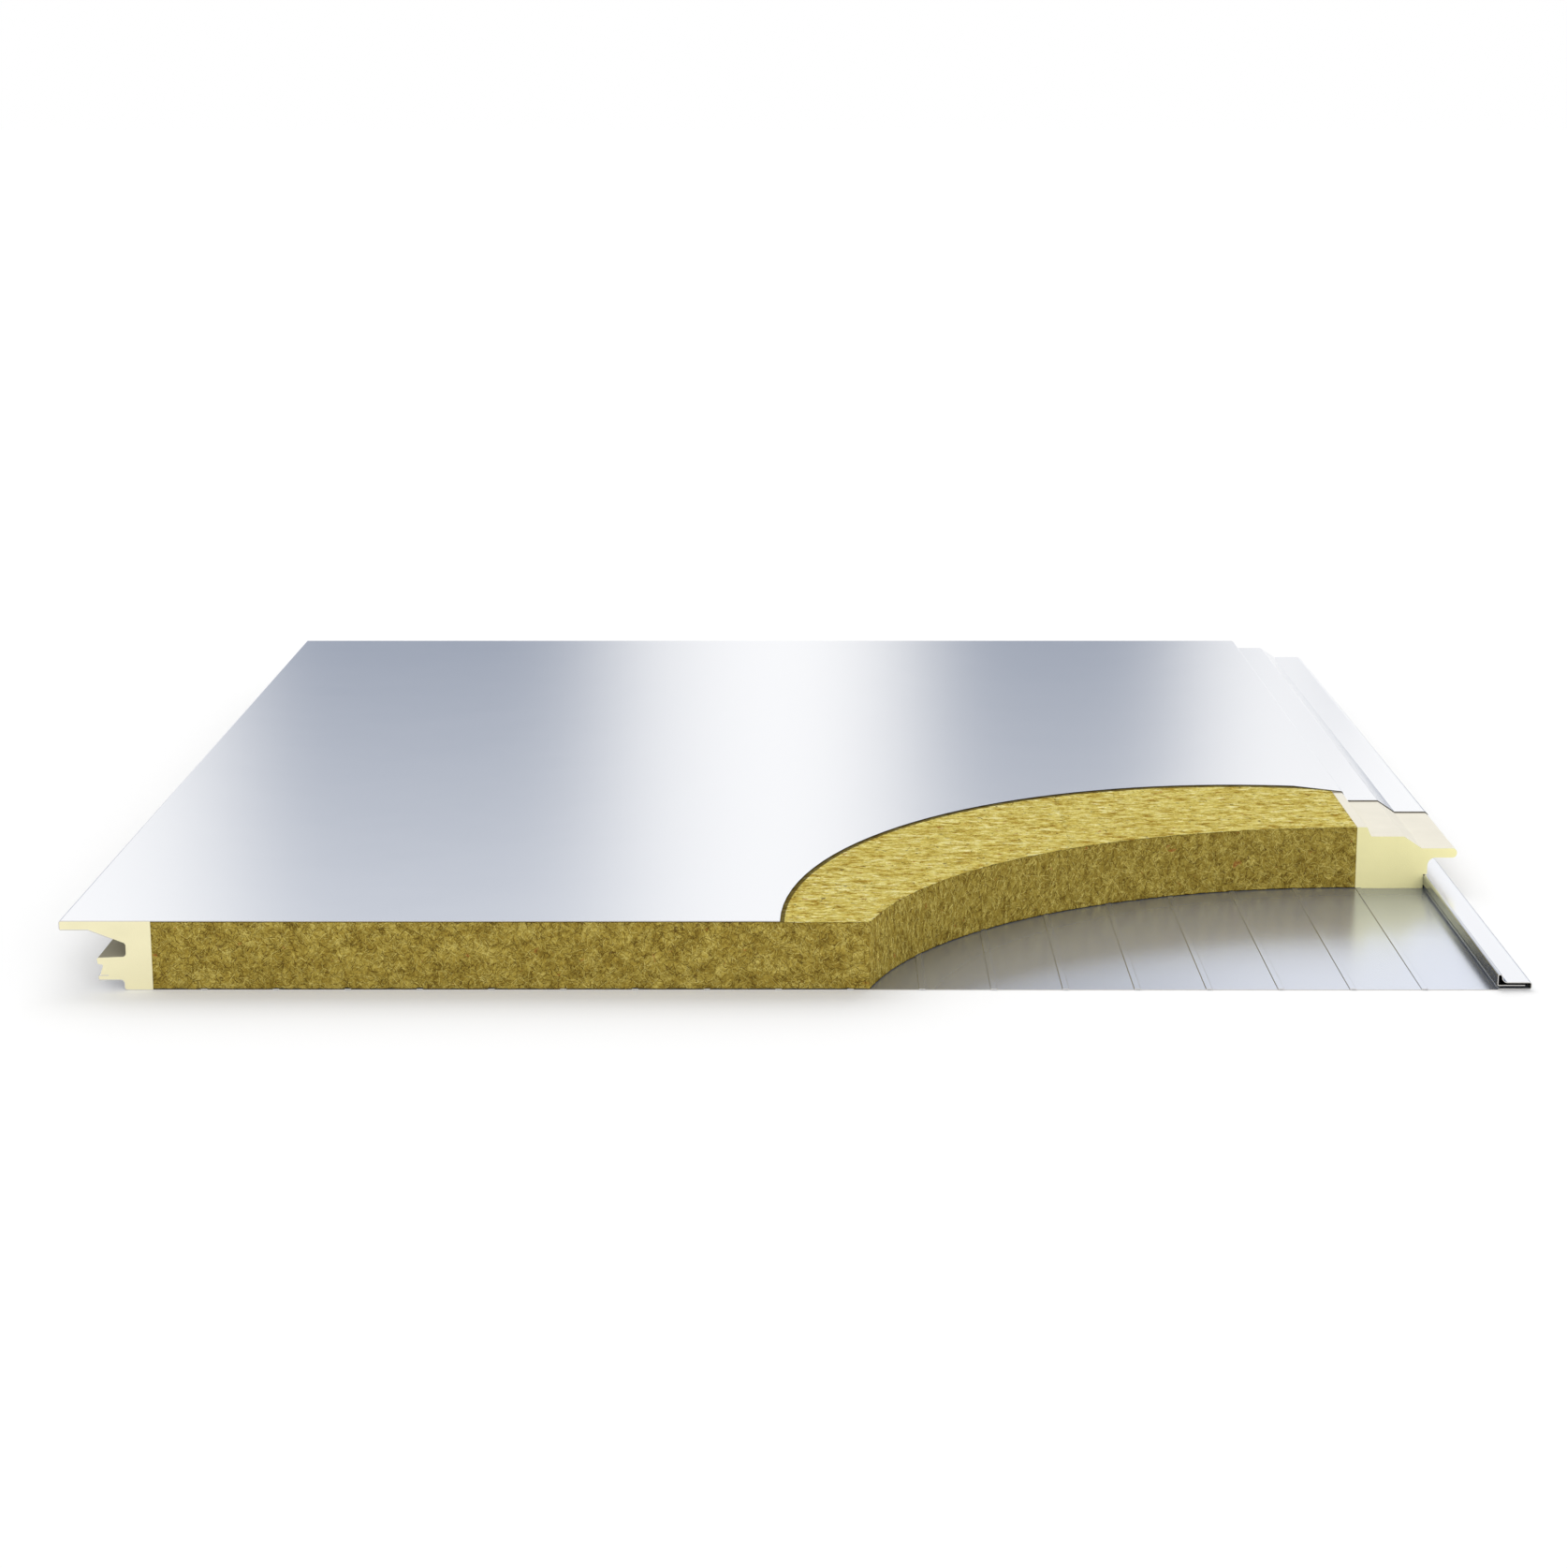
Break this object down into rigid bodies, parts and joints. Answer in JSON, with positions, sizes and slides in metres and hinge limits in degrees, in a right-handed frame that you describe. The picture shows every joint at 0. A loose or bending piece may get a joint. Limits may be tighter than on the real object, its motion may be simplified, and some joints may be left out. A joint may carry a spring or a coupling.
{
  "type": "insulated sandwich panel",
  "caption": "Insulated wall panel for hidden fixing, shown as a cutaway sample: steel sheets over mineral wool, with foam edge strips, a nose and a groove, and a hemmed flange.",
  "frame": {"origin": "below the centre of the panel, on the floor it lies on", "axes": "+X from the groove side to the nose side, +Y along the panel towards the uncut end, +Z out of the outer face"},
  "size_m": [1.0464, 1.1, 0.0512],
  "materials": {
    "outer_steel": "satin",
    "inner_steel": "satin",
    "mineral_wool": "matte",
    "rigid_foam": "matte"
  },
  "bodies": {
    "root": {"top_sheet": "outer_steel", "bottom_sheet": "inner_steel", "wool_core": "mineral_wool", "pu_strip_left": "rigid_foam", "pu_strip_right": "rigid_foam"}
  },
  "joints": []
}
